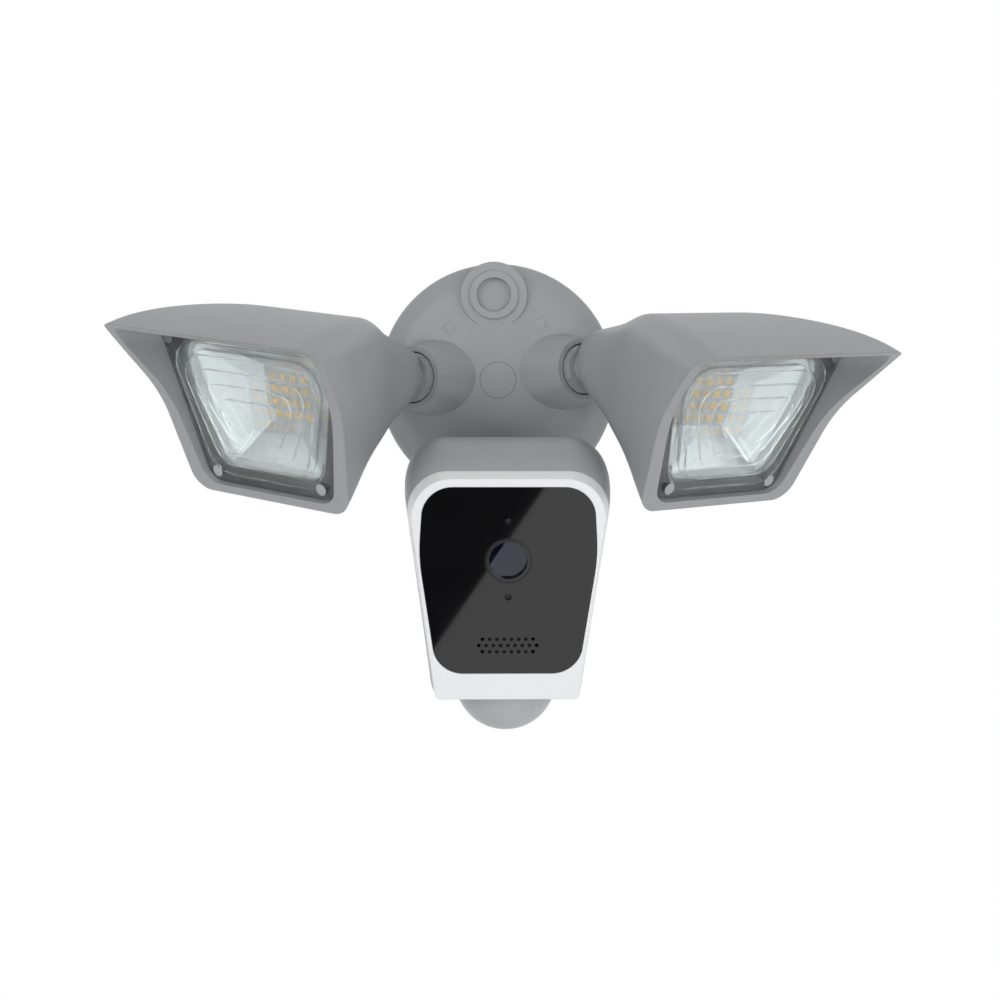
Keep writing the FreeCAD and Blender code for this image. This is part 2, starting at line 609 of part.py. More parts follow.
def make_lamp_housing(side):
    """Hollow shell with a hood, a lens seat, a slot for the arm and a screw scoop."""
    outer = loft(f"{side}_lamp_outer", lamp_sections())
    inner_sections = lamp_sections("lamp_wall")[:5]
    rear_level = "-lamp_pivot_back - 15 + lamp_wall"
    inner_sections[0] = (rear_level, inner_sections[0][1], inner_sections[0][2])
    front_level = "-lens_gasket_thickness - cover_thickness - flange_thickness"
    inner_sections.append((
        front_level,
        trapezoid("cover_top + 1", "cover_bottom + 3", "cover_half_height + 3",
                  "-cover_half_height + 0.5"), "9"))
    cavity = loft(f"{side}_lamp_cavity", inner_sections)
    opening = plate(f"{side}_lens_opening", cover_outline("lens_opening_inset"), "cover_round",
                    f"{front_level} - 1", "flange_thickness + 2")
    seat_level = "-lens_gasket_thickness - cover_thickness"
    recess = plate(f"{side}_lens_recess", cover_outline("-cover_clearance"), "cover_round",
                   seat_level, f"cover_thickness + lens_gasket_thickness + 0.5")
    mouth = lamp_sections("hood_wall")[-1]
    hood = loft(f"{side}_hood_hollow", [
        ("0", cover_outline("-cover_clearance"), "cover_round"),
        ("hood_reach + 1", mouth[1], mouth[2])], straight=True)
    brow = prism(f"{side}_hood_trim", [
        ("-cover_half_height - 12", "hood_bottom_reach"),
        ("cover_half_height - hood_brow_drop - 12", "hood_bottom_reach + hood_brow_reach / 3"),
        ("cover_half_height + 4", "hood_reach - 6"),
        ("cover_half_height + 12", "hood_reach + 3"),
        ("cover_half_height + 12", "hood_reach + 10"),
        ("-cover_half_height - 12", "hood_reach + 10")], "4 * cover_top",
        ["0", "60", "30", "0", "0", "0"])
    ball_centre = ("0", "scoop_level", "-scoop_back")
    scoop_seat = common(f"{side}_scoop_seat", outer,
                        ball(f"{side}_scoop_skin", "scoop_radius + scoop_wall", ball_centre))
    column = common(f"{side}_column", outer,
                    cylinder(f"{side}_column_rod", "column_radius",
                             "scoop_level - bracket_tab_level",
                             ("0", "bracket_tab_level", "-scoop_back"), ALONG_Y))
    hollowed = cut(f"{side}_lamp_shell", outer, [cavity, opening, recess, hood, brow])
    screw_hole = cylinder(f"{side}_column_hole", "small_screw_radius + thread_clearance", "60",
                          ("0", "bracket_tab_level - 1", "-scoop_back"), ALONG_Y)
    hole_list = [ball(f"{side}_scoop", "scoop_radius", ball_centre), screw_hole]
    half = "(shank_radius + slot_clearance)"
    hole_list.append(block(f"{side}_arm_slot", [
        (f"-{half}", half), ("-lamp_pivot_drop - 40", f"-lamp_pivot_drop + {half} + 1"),
        ("-lamp_pivot_back - 40", f"-lamp_pivot_back + {half}")]))
    for across, up_sign, width in lens_screw_places():
        hole_list.append(cylinder(
            f"{side}_flange_hole_{across}_{up_sign}", "small_screw_radius + thread_clearance",
            "lens_screw_length + 2", (width[0], width[1], "-lens_screw_length - 1")))
    node(cut(f"{side}_housing_cut", fuse(f"{side}_housing_solid",
                                         [hollowed, scoop_seat, column]), hole_list),
         f"{side}_lamp_housing", LAMPS[side])


def lens_screw_places():
    """The four cover screws: side, row and position formulas."""
    places = []
    for across in (-1, 1):
        for row, edge in ((1, "cover_top"), (0, "cover_bottom")):
            sign = 1 if row else -1
            places.append((across + 1, row, (
                f"{across} * ({edge} - lens_screw_inset)",
                f"{sign} * (cover_half_height - lens_screw_inset)")))
    return places


def make_lamp_optics(side):
    """Stepped lens cover, gasket, screws and the four-sided reflector."""
    frame = LAMPS[side]
    cover = body(f"{side}_cover_body")
    base = draw(sketch(cover, f"{side}_cover_base", "XY", "-cover_thickness"), cover_outline(),
                "cover_round")
    pad(cover, base, "cover_thickness")
    for order in range(5):
        inset = f"cover_first_inset + {order} * cover_step_inset"
        ring = draw(sketch(cover, f"{side}_cover_ring_{order}", "XY", "-cover_skin"),
                    cover_outline(inset), f"cover_ring_round - 2 * {order}")
        pad(cover, ring, f"cover_skin + cover_first_step + {order} * cover_step")
    hollow_outline = draw(sketch(cover, f"{side}_cover_under", "XY", "-cover_thickness"),
                          cover_outline("cover_first_inset + cover_step_inset - cover_skin"),
                          "cover_ring_round")
    pad(cover, hollow_outline, "cover_thickness + cover_first_step - cover_skin",
        "PartDesign::Pocket", reverse=True)
    holes = [cylinder(f"{side}_cover_hole_{across}_{row}",
                      "small_screw_radius + thread_clearance", "cover_thickness + 4",
                      (spot[0], spot[1], "-cover_thickness - 1"))
             for across, row, spot in lens_screw_places()]
    node(cut(f"{side}_cover_cut", cover, holes), f"{side}_lens_cover", frame)

    gasket_back = "-cover_thickness - lens_gasket_thickness"
    ring = plate(f"{side}_gasket_blank", cover_outline(), "cover_round", gasket_back,
                 "lens_gasket_thickness")
    window = plate(f"{side}_gasket_window", cover_outline("lens_opening_inset"), "cover_round",
                   f"{gasket_back} - 1", "lens_gasket_thickness + 2")
    gasket_holes = [cylinder(f"{side}_gasket_hole_{across}_{row}",
                             "small_screw_radius + thread_clearance", "6",
                             (spot[0], spot[1], f"{gasket_back} - 1"))
                    for across, row, spot in lens_screw_places()]
    node(cut(f"{side}_gasket_cut", ring, [window] + gasket_holes), f"{side}_lens_gasket", frame)

    screws = []
    for across, row, spot in lens_screw_places():
        shank = cylinder(f"{side}_lens_shank_{across}_{row}", "small_screw_radius",
                         "lens_screw_length", (spot[0], spot[1], "-lens_screw_length"))
        top = cylinder(f"{side}_lens_head_{across}_{row}", "small_screw_head_radius",
                       "small_screw_head_height", (spot[0], spot[1], "0"))
        screws.append(fuse(f"{side}_lens_screw_{across}_{row}", [shank, top]))
    node(group(f"{side}_lens_screw_set", screws), f"{side}_lens_screws", frame)

    rim_back = "-cover_thickness - lens_gasket_thickness - flange_thickness"
    rim = plate(f"{side}_reflector_rim", cover_outline("rim_margin"), "cover_round",
                f"{rim_back} - reflector_rim_thickness", "reflector_rim_thickness")
    throat = rectangle("funnel_half", "funnel_half")
    funnel = loft(f"{side}_funnel", [
        ("-led_depth", throat, "1.5"),
        (rim_back, cover_outline("lens_opening_inset - funnel_wall"), "3")], straight=True)
    bowl = loft(f"{side}_bowl", [
        ("-led_depth - 0.01", rectangle("funnel_half - funnel_wall", "funnel_half - funnel_wall"),
         "0.8"),
        (f"{rim_back} + 0.01", cover_outline("lens_opening_inset"), "2.2")], straight=True)
    node(cut(f"{side}_reflector_cut", fuse(f"{side}_reflector_solid", [rim, funnel]), [bowl]),
         f"{side}_reflector", frame)


def make_lamp_light(side):
    """LED board, its sixteen LEDs and the finned heat sink."""
    frame = LAMPS[side]
    board_back = "-led_depth - led_board_thickness"
    node(plate(f"{side}_board_blank", rectangle("led_board_half", "led_board_half"), "2",
               board_back, "led_board_thickness"), f"{side}_led_board", frame)
    chips = []
    for column in range(4):
        for line in range(4):
            across = f"({column} - 1.5) * led_pitch"
            up = f"({line} - 1.5) * led_pitch"
            chips.append(block(f"{side}_led_{column}_{line}", [
                (f"{across} - led_size / 2", f"{across} + led_size / 2"),
                (f"{up} - led_size / 2", f"{up} + led_size / 2"),
                ("-led_depth", "-led_depth + led_height")]))
    node(group(f"{side}_led_set", chips), f"{side}_led_array", frame)
    slab = plate(f"{side}_sink_slab", rectangle("sink_half_width", "sink_half_height"), "3",
                 f"{board_back} - sink_thickness", "sink_thickness")
    fins = [
        block(f"{side}_fin_{order}", [
            (f"({order} - 2) * fin_pitch - fin_thickness / 2",
             f"({order} - 2) * fin_pitch + fin_thickness / 2"),
            ("-sink_half_height + 2", "sink_half_height - 2"),
            (f"{board_back} - sink_thickness - fin_depth", f"{board_back} - sink_thickness")])
        for order in range(5)
    ]
    node(fuse(f"{side}_sink_solid", [slab] + fins), f"{side}_heat_sink", frame)


def make_ears(name, up, out, plate_out):
    """Two ears round a tilt pin, from their plate to the pin's line."""
    ears = []
    for sign in (-1, 1):
        inner = "(eye_width / 2 + ear_gap)"
        outer = "(eye_width / 2 + ear_gap + ear_thickness)"
        span = (inner, outer) if sign > 0 else (f"-{outer}", f"-{inner}")
        ears.append(cylinder(f"{name}_ear_{sign + 1}", "ear_radius", "ear_thickness",
                             (span[0], up, out), ALONG_X))
        ears.append(block(f"{name}_cheek_{sign + 1}", [
            span, (f"{up} - ear_radius", f"{up} + ear_radius"), (out, plate_out)]))
    return ears


def make_tilt_pin(side, name, up, out, frame):
    """Pin through both ears and the arm's eye."""
    half = "(eye_width / 2 + ear_gap + ear_thickness + pin_overhang)"
    node(cylinder(f"{side}_pin_rod", "pin_radius", f"2 * {half}", (f"-{half}", up, out),
                  ALONG_X), name, frame)


def pin_hole(name, up, out):
    """Hole for a tilt pin across both ears."""
    return cylinder(name, "pin_radius + running_clearance", "4 * eye_width",
                    ("-2 * eye_width", up, out), ALONG_X)


def make_lamp_hinge(side):
    """Bracket with two ears, its screw and the tilt pin."""
    frame = LAMPS[side]
    up, out = "-lamp_pivot_drop", "-lamp_pivot_back"
    half = "(eye_width / 2 + ear_gap + ear_thickness)"
    bridge = block(f"{side}_bridge", [
        (f"-{half}", half), (f"{up} - ear_radius", "bracket_tab_level"),
        ("-bracket_back", "-bracket_back + bracket_plate")])
    tab = block(f"{side}_tab", [
        ("-bracket_tab_half", "bracket_tab_half"),
        ("bracket_tab_level - bracket_plate", "bracket_tab_level"),
        ("-bracket_back", "-bracket_tab_front")])
    ears = make_ears(f"{side}_hinge", up, out, "-bracket_back + bracket_plate")
    tab_hole = cylinder(f"{side}_tab_hole", "small_screw_radius + thread_clearance", "12",
                        ("0", "bracket_tab_level - 6", "-scoop_back"), ALONG_Y)
    node(cut(f"{side}_bracket_cut", fuse(f"{side}_bracket_solid", [bridge, tab] + ears),
             [pin_hole(f"{side}_ear_hole", up, out), tab_hole]), f"{side}_hinge_bracket", frame)
    scoop_floor = "scoop_level - scoop_radius"
    shank = cylinder(f"{side}_bracket_shank", "small_screw_radius",
                     f"{scoop_floor} - bracket_tab_level + bracket_plate",
                     ("0", "bracket_tab_level - bracket_plate", "-scoop_back"), ALONG_Y)
    top = cylinder(f"{side}_bracket_screw_head", "small_screw_head_radius",
                   "small_screw_head_height", ("0", f"{scoop_floor} + 0.6", "-scoop_back"),
                   ALONG_Y)
    stem = cylinder(f"{side}_bracket_neck", "small_screw_radius", "1.2",
                    ("0", f"{scoop_floor} - 0.3", "-scoop_back"), ALONG_Y)
    node(fuse(f"{side}_bracket_screw_solid", [shank, stem, top]), f"{side}_bracket_screw", frame)
    make_tilt_pin(side, f"{side}_tilt_pin", up, out, frame)


# Camera head

def head_section(level, swell, inset="0", crown="0"):
    """Outline of the head at a level behind the bezel's front."""
    corners = trapezoid(f"bezel_top + {swell} - {inset}", f"bezel_bottom + {swell} / 3 - {inset}",
                        f"bezel_top_level + {swell} + {crown} - {inset}",
                        f"bezel_bottom_level + {inset}")
    return level, corners, head_rounds(inset)


def head_rounds(inset="0"):
    """Corner radii of the head: two wide shoulders and two tight chins."""
    wide = f"bezel_top_round - {inset} / 2"
    tight = f"bezel_bottom_round - {inset} / 2"
    return [wide, wide, tight, tight]


def head_back(level, inset="0"):
    """Outline of the head's back, low enough to slope the top."""
    corners = trapezoid(f"head_back_top - {inset}", f"head_back_bottom - {inset}",
                        f"head_back_level - {inset}",
                        f"bezel_bottom_level + head_floor_rise + {inset}")
    return level, corners, ["9", "9", "3", "3"]


def face_outline(inset="0"):
    """Corners of the face panel, widest below its shoulders."""
    return [(f"-(face_top - {inset})", f"face_top_level - {inset}"),
            (f"face_top - {inset}", f"face_top_level - {inset}"),
            (f"face_middle - {inset}", "face_middle_level"),
            (f"face_bottom - {inset}", f"face_bottom_level + {inset}"),
            (f"-(face_bottom - {inset})", f"face_bottom_level + {inset}"),
            (f"-(face_middle - {inset})", "face_middle_level")]


FACE_ROUNDS = ["face_round", "face_round", "face_side_round", "face_round", "face_round",
               "face_side_round"]
POSTS = [(f"{side} * {across}", level)
         for side in (-1, 1)
         for across, level in (("post_top_across", "post_top_level"),
                               ("post_bottom_across", "post_bottom_level"))]


def make_rear_housing():
    """Deep shell behind the bezel, with openings for the dome, button and card door."""
    outer = loft("head_outer", [head_back("-head_depth"),
                                head_section("-head_depth / 2", "head_swell + 0.6", crown="head_crown"),
                                head_section("-bezel_depth", "head_swell")])
    cavity = loft("head_cavity", [head_back("-head_depth + head_wall", "head_wall"),
                                  head_section("-head_depth / 2", "head_swell + 0.6", "head_wall",
                                               "head_crown"),
                                  head_section("-bezel_depth + 1", "head_swell", "head_wall")])
    added, removed = [cut("head_shell", outer, [cavity])], []
    for order, (across, up) in enumerate(POSTS):
        removed.append(cylinder(f"head_screw_hole_{order}",
                                "small_screw_radius + thread_clearance", "head_wall + 2",
                                (across, up, "-head_depth - 1")))
    for order, (across, up) in enumerate(main_board_corners()):
        added.append(cylinder(f"board_rest_{order}", "2", "main_board_lift + head_wall / 2",
                              (across, up, "-head_depth + head_wall / 2")))
    removed.append(cylinder("dome_hole", "dome_hole_radius", "12",
                            ("0", "bezel_bottom_level - 3", "-dome_back"), ALONG_Y))
    removed.append(cylinder("button_hole", "button_radius + running_clearance", "head_wall + 2",
                            ("button_across", "button_level", "-head_depth - 1")))
    removed.append(block("door_recess", [
        ("door_across - door_width / 2 - door_gap", "door_across + door_width / 2 + door_gap"),
        ("door_level - door_height / 2 - door_gap", "door_level + door_height / 2 + door_gap"),
        ("-head_depth - 1", "-head_depth + door_thickness + door_gap")]))
    added.append(block("card_frame", [
        ("door_across - card_slot_width / 2 - 2", "door_across + card_slot_width / 2 + 2"),
        ("door_level + card_slot_height / 2 - 3.5", "door_level + card_slot_height / 2 + 2"),
        ("-head_depth + head_wall / 2", "-head_depth + head_wall + 1.4")]))
    removed.append(block("card_slot", [
        ("door_across - card_slot_width / 2", "door_across + card_slot_width / 2"),
        ("door_level - card_slot_height / 2", "door_level + card_slot_height / 2"),
        ("-head_depth - 1", "-head_depth + head_wall + 3")]))
    node(cut("rear_housing_cut", fuse("rear_housing_solid", added), removed),
         "rear_housing", HEAD)


def main_board_corners():
    """Where the rear housing's rests meet the main board."""
    return [(f"{side} * (main_board_half - 2.5)", level)
            for side in (-1, 1) for level in ("main_board_top - 3", "main_board_bottom + 3")]


def make_bezel():
    """Front frame round the face panel, with its four screw posts."""
    rim = loft("bezel_rim", [head_section("-bezel_depth", "head_swell"),
                             head_section("0", "0")], straight=True)
    seat = plate("face_seat", face_outline("-face_clearance"), FACE_ROUNDS,
                 "-face_recess - face_thickness", "face_recess + face_thickness + 1")
    window = plate("bezel_window", face_outline("face_ledge"), FACE_ROUNDS, "-bezel_depth - 1",
                   "bezel_depth + 2")
    added, holes = [cut("bezel_frame", rim, [seat, window])], []
    for order, (across, up) in enumerate(POSTS):
        added.append(cylinder(f"bezel_post_{order}", "post_radius",
                              "head_depth - head_wall - face_recess - face_thickness - 2",
                              (across, up, "-head_depth + head_wall")))
        holes.append(cylinder(f"bezel_post_hole_{order}",
                              "small_screw_radius + thread_clearance",
                              "housing_screw_length + 1",
                              (across, up, "-head_depth + head_wall - 1")))
        tie = "post_top_tie" if up == "post_top_level" else "post_bottom_tie"
        span = (f"-{tie}", across) if across.startswith("-") else (across, tie)
        added.append(block(f"bezel_tie_{order}", [
            span, (f"{up} - 2", f"{up} + 2"),
            ("-bezel_depth + 0.2", "-face_recess - face_thickness - 2")]))
    node(cut("bezel_cut", fuse("bezel_solid", added), holes), "front_bezel", HEAD)
    screws = []
    for order, (across, up) in enumerate(POSTS):
        shank = cylinder(f"housing_shank_{order}", "small_screw_radius", "housing_screw_length",
                         (across, up, "-head_depth"))
        top = cylinder(f"housing_head_{order}", "small_screw_head_radius",
                       "small_screw_head_height",
                       (across, up, "-head_depth - small_screw_head_height"))
        screws.append(fuse(f"housing_screw_{order}", [shank, top]))
    node(group("housing_screw_set", screws), "housing_screws", HEAD)


def make_face():
    """Gloss face panel with its lens, microphone, light and speaker holes."""
    panel = plate("face_blank", face_outline(), FACE_ROUNDS, "-face_recess - face_thickness",
                  "face_thickness")
    holes = [cylinder("lens_hole", "barrel_radius + barrel_clearance", "8", ("0", "0", "-5")),
             cylinder("mic_hole", "mic_hole_radius", "8", ("0", "mic_level", "-5")),
             cylinder("light_hole", "light_hole_radius", "8", ("0", "light_level", "-5"))]
    for line in (-1, 0, 1):
        count = 9 if line == 0 else 8
        for order in range(count):
            holes.append(cylinder(f"grille_hole_{line + 1}_{order}", "grille_hole_radius", "8", (
                f"({order} - {(count - 1) / 2}) * grille_pitch",
                f"grille_level + {line} * grille_row", "-5")))
    node(cut("face_cut", panel, holes), "face_panel", HEAD)


def make_head_insides():
    """Lens, boards, speaker, capsules and the passive infrared sensor."""
    front = "-face_recess"
    back = "-face_recess - face_thickness"
    tube = cylinder("barrel_tube", "barrel_radius", f"barrel_length + {front}",
                    ("0", "0", "-barrel_length"))
    bore = cylinder("barrel_bore_hole", "barrel_bore", "barrel_length",
                    ("0", "0", "-barrel_length + 3"))
    seat = cylinder("barrel_seat", "glass_radius + barrel_clearance / 4",
                    "barrel_seat_depth + 1",
                    ("0", "0", "-glass_depth - glass_thickness"))
    node(cut("barrel_cut", tube, [bore, seat]), "lens_barrel", HEAD)
    node(cylinder("glass_disc", "glass_radius", "glass_thickness",
                  ("0", "0", "-glass_depth - glass_thickness")), "lens_glass", HEAD)
    board = block("image_blank", [("-image_board_half", "image_board_half"),
                                  ("-image_board_half", "image_board_half"),
                                  ("-barrel_length - board_thickness", "-barrel_length")])
    chip = block("image_chip", [("-4", "4"), ("-4", "4"),
                                ("-barrel_length - board_thickness - 1",
                                 "-barrel_length - board_thickness")])
    node(fuse("image_board_solid", [board, chip]), "image_board", HEAD)
    low = "-head_depth + head_wall + main_board_lift"
    main = block("main_blank", [("-main_board_half", "main_board_half"),
                                ("main_board_bottom", "main_board_top"),
                                (low, f"{low} + board_thickness")])
    chips = [block(f"main_chip_{order}", [
        (f"{across} - 4.5", f"{across} + 4.5"), (f"{up} - 4", f"{up} + 4"),
        (f"{low} + board_thickness", f"{low} + board_thickness + 1.6")])
        for order, (across, up) in enumerate((("-7", "-4"), ("6", "-12"), ("-6", "-24")))]
    link = block("board_link", [("-3", "3"), ("-14", "-8"), (
        f"{low} + board_thickness", "-barrel_length - board_thickness - 0.2")])
    node(fuse("main_board_solid", [main, link] + chips), "main_board", HEAD)
    node(cylinder("speaker_can", "speaker_radius", "speaker_length",
                  ("0", "grille_level + 1", f"{back} - speaker_length - 0.2")),
         "speaker", HEAD)
    for name, level in (("microphone", "mic_level"), ("light_sensor", "light_level")):
        node(cylinder(f"{name}_can", "capsule_radius", "capsule_length",
                      ("0", level, f"{back} - capsule_length - 0.2")), name, HEAD)

    centre = ("0", "dome_level", "-dome_back")
    above = block("dome_above", [("-dome_radius - 2", "dome_radius + 2"),
                                 ("dome_cut_level", "dome_level + dome_radius + 2"),
                                 ("-dome_back - dome_radius - 2",
                                  "-dome_back + dome_radius + 2")])
    node(cut("dome_cut_shell", ball("dome_outer", "dome_radius", centre),
             [ball("dome_inner", "dome_radius - dome_wall", centre), above]),
         "pir_dome", HEAD)
    disc = cylinder("pir_disc", "pir_board_radius", "board_thickness",
                    ("0", "dome_cut_level + pir_rest_gap", "-dome_back"), ALONG_Y)
    can = cylinder("pir_can", "pir_can_radius", "pir_can_height",
                   ("0", "dome_cut_level + pir_rest_gap - pir_can_height", "-dome_back"),
                   ALONG_Y)
    node(fuse("pir_solid", [disc, can]), "pir_sensor", HEAD)


def make_head_controls():
    """Reset button and hinged card door on the head's back."""
    length = "head_wall + button_proud"
    stem = cylinder("button_stem", "button_radius", length,
                    ("button_across", "button_level", "-head_depth - button_proud"))
    flange = cylinder("button_flange", "button_flange_radius", "button_flange_thickness",
                      ("button_across", "button_level",
                       "-head_depth + head_wall + running_clearance"))
    neck = cylinder("button_neck", "button_radius", "button_flange_thickness",
                    ("button_across", "button_level", "-head_depth + head_wall"))
    node(fuse("button_solid", [stem, neck, flange]), "reset_button", HEAD)

    low = "door_level - door_height / 2"
    leaf = block("door_leaf", [
        ("door_across - door_width / 2", "door_across + door_width / 2"),
        (f"{low} + door_barrel_radius", "door_level + door_height / 2"),
        ("-head_depth", "-head_depth + door_thickness")])
    barrel = cylinder("door_barrel", "door_barrel_radius", "door_width",
                      ("door_across - door_width / 2", f"{low} + door_barrel_radius",
                       "-head_depth + door_thickness - door_barrel_radius"), ALONG_X)
    node(fuse("door_solid", [leaf, barrel]), "card_door", HEAD)


def make_head_hinge():
    """Bracket on the head's back, and its tilt pin."""
    up, out = "head_pivot_rise", "-head_pivot_back"
    half = "(eye_width / 2 + ear_gap + ear_thickness)"
    base = block("head_bracket_base", [
        (f"-{half} - 2", f"{half} + 2"),
        (f"{up} - head_bracket_half", f"{up} + ear_radius"),
        ("-head_depth - head_bracket_plate", "-head_depth")])
    ears = make_ears("head", up, out, "-head_depth - head_bracket_plate + 0.5")
    node(cut("head_bracket_cut", fuse("head_bracket_solid", [base] + ears),
             [pin_hole("head_ear_hole", up, out)]), "camera_bracket", HEAD)
    make_tilt_pin("camera", "camera_tilt_pin", up, out, HEAD)


make_canopy()
make_wall_pieces()
make_driver()
for side in ("left", "right", "camera"):
    make_arm(side)
for side in ("left", "right"):
    make_lamp_housing(side)
    make_lamp_optics(side)
    make_lamp_light(side)
    make_lamp_hinge(side)
make_rear_housing()
make_bezel()
make_face()
make_head_insides()
make_head_controls()
make_head_hinge()

doc.recompute()
failed = [item.Label for item in doc.Objects if {"Invalid", "Error"} & set(item.State)]
broken = [item.Label for item in nodes if item.Shape.isNull() or not item.Shape.isValid()]
if failed or broken:
    raise RuntimeError(f"failed objects {failed}, bad shapes {broken}")
os.makedirs("parts", exist_ok=True)
for item in nodes:
    item.Shape.exportStep(f"parts/{item.Label}.step")
print(f"{len(nodes)} nodes written")
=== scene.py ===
"""Floodlight security camera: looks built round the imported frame.

Everything is in metres and in the frame of the CAD model: +Z up, -Y out of the wall towards the
viewer, with the origin at the centre of the canopy on the wall.
"""

import json
import logging
import math
from dataclasses import dataclass
from enum import Enum

import bmesh
import bpy
from mathutils import Matrix, Vector


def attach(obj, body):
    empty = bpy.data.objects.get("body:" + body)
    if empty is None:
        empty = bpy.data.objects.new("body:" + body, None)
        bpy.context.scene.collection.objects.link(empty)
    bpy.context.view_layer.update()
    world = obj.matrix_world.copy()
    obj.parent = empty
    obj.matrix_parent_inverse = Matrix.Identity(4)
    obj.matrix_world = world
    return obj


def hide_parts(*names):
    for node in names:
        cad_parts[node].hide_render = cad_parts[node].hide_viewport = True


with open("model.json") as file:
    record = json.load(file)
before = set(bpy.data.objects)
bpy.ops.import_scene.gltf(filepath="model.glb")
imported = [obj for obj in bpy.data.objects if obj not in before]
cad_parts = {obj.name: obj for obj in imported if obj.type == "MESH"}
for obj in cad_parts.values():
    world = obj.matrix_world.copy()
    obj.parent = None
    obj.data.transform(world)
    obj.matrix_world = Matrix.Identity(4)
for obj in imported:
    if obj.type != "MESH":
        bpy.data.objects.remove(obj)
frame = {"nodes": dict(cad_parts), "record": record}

LOG = logging.getLogger("floodlight")
MM = 0.001
AXIS_RADIUS = 0.01  # millimetres; keeps the middle of a turned piece open enough to stay manifold
Colour = tuple[float, float, float]
Axes = tuple[Colour, Colour, Colour]

# Origin in millimetres, across and up, at rest
LEFT_FRAME: Axes = ((-102.387, -117.689, -15.326), (0.80801, -0.55741, -0.19081),
                    (-0.07322, -0.41636, 0.90625))
RIGHT_FRAME: Axes = ((98.087, -116.112, -28.096), (0.82282, 0.56762, 0.02792),
                     (0.27537, -0.44118, 0.85413))
FACE_FRAME: Axes = ((-1.588, -117.224, -81.679), (0.99881, 0.00396, -0.04869),
                    (0.04805, -0.25872, 0.96476))


class Side(Enum):
    """The two lamps, by the hand they hang on as the viewer sees them."""

    LEFT = "left"
    RIGHT = "right"


class Bonding(Enum):
    """The way a distance texture treats its cells."""

    CELLS = "F1"
    EDGES = "DISTANCE_TO_EDGE"


# Shader expressions


class Shade:
    """A node's output socket that takes part in Python expressions."""

    def __init__(self, graph: "Graph", socket: bpy.types.NodeSocket) -> None:
        """Keep the socket and the graph that it belongs to."""
        self.graph = graph
        self.socket = socket

    def joined(self, operation: str, first: "Shade | float", second: "Shade | float") -> "Shade":
        """Add a Math node.

        Args:
            operation: the node's operation.
            first: its first value or link.
            second: its second value or link.

        Returns:
            The node's output.
        """
        return self.graph.node("ShaderNodeMath", {"operation": operation}, {0: first, 1: second})

    def __add__(self, other: "Shade | float") -> "Shade":
        """Sum of two values."""
        return self.joined("ADD", self, other)

    __radd__ = __add__

    def __sub__(self, other: "Shade | float") -> "Shade":
        """Difference of two values."""
        return self.joined("SUBTRACT", self, other)

    def __rsub__(self, other: "Shade | float") -> "Shade":
        """Difference with the number first."""
        return self.joined("SUBTRACT", other, self)

    def __mul__(self, other: "Shade | float") -> "Shade":
        """Product of two values."""
        return self.joined("MULTIPLY", self, other)

    __rmul__ = __mul__

    def __pow__(self, other: "Shade | float") -> "Shade":
        """One value to the power of another."""
        return self.joined("POWER", self, other)


